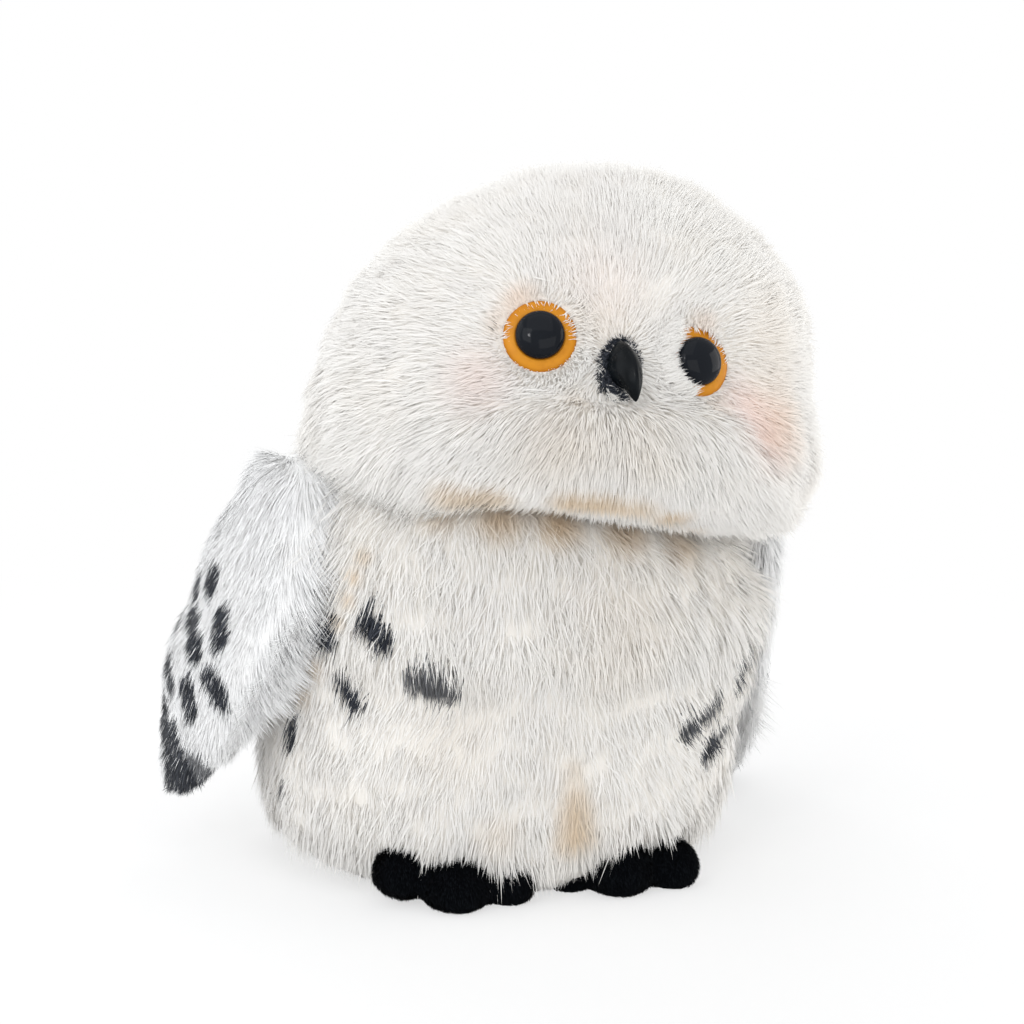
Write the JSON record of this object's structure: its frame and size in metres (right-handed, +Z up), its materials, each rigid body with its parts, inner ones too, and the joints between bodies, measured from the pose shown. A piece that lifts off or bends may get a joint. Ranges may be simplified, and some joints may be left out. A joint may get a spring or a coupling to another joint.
{
  "type": "plush owl",
  "caption": "Seated plush snowy owl with glass-look orange eyes, a hooked black beak, a head that turns and tilts on a hidden disc joint, hinged padded wings and a tail flap.",
  "frame": {"origin": "centre of the flat base, on the surface that the owl sits on", "axes": "+Z up; the owl faces -Y, and its own right wing is at -X"},
  "size_m": [0.234, 0.2017, 0.2396],
  "materials": {
    "white_fur": "long soft faux-fur pile",
    "cream_fur": "long soft faux-fur pile, creamy",
    "black_pile": "short velvety pile",
    "iris_orange": "satin orange",
    "glossy_black": "polished black",
    "joint_plastic": "moulded white",
    "stuffing": "polyester fibre filling",
    "base_cloth": "plain woven cloth",
    "sewing_cord": "waxed thread"
  },
  "bodies": {
    "torso": {"back_left_panel": "white_fur", "back_right_panel": "white_fur", "base_panel": "base_cloth", "belly_panel": "cream_fur", "body_filling": "stuffing", "body_gather_cord": "sewing_cord", "left_foot_sole": "black_pile", "left_foot_upper": "black_pile", "pellet_bag": "base_cloth", "right_foot_sole": "black_pile", "right_foot_upper": "black_pile"},
    "head": {"beak": "glossy_black", "beak_patch": "black_pile", "beak_washer": "joint_plastic", "chin_ruff_panel": "white_fur", "crown_left_panel": "white_fur", "crown_right_panel": "white_fur", "face_panel": "white_fur", "head_filling": "stuffing", "head_gather_cord": "sewing_cord", "left_eye_dome": "glossy_black", "left_eye_washer": "joint_plastic", "left_iris_disc": "iris_orange", "neck_lock_ring": "joint_plastic", "neck_post": "joint_plastic", "neck_washer": "joint_plastic", "right_eye_dome": "glossy_black", "right_eye_washer": "joint_plastic", "right_iris_disc": "iris_orange"},
    "left_wing": {"left_wing_filling": "stuffing", "left_wing_lining": "white_fur", "left_wing_outer_panel": "white_fur"},
    "neck": {"neck_lower_disc": "joint_plastic"},
    "right_wing": {"right_wing_filling": "stuffing", "right_wing_lining": "white_fur", "right_wing_outer_panel": "white_fur"},
    "tail": {"tail_filling": "stuffing", "tail_lining": "white_fur", "tail_upper_panel": "white_fur"}
  },
  "joints": [
    {"name": "head_tilt", "type": "hinge", "parent": "torso", "child": "neck", "pos_m": [0.00768, -0.00136, 0.11033], "axis": [0, 1, 0], "range_deg": [-9, 6]},
    {"name": "head_turn", "type": "hinge", "parent": "neck", "child": "head", "pos_m": [0.00768, -0.00136, 0.11033], "axis": [0.1798, 0, 0.9837], "continuous": true},
    {"name": "right_wing_flap", "type": "hinge", "parent": "torso", "child": "right_wing", "pos_m": [-0.0786, 0.00432, 0.12963], "axis": [-0.2115, 0.9773, -0.0139], "range_deg": [0, 80], "stiffness_Nm_per_rad": 0.006},
    {"name": "left_wing_flap", "type": "hinge", "parent": "torso", "child": "left_wing", "pos_m": [0.09977, 0.00466, 0.10323], "axis": [-0.2442, -0.9344, -0.2594], "range_deg": [0, 80], "stiffness_Nm_per_rad": 0.006},
    {"name": "tail_lift", "type": "hinge", "parent": "torso", "child": "tail", "pos_m": [0.002, 0.08446, 0.0569], "axis": [0.9975, 0.0004, -0.0702], "range_deg": [0, 60], "stiffness_Nm_per_rad": 0.002}
  ]
}
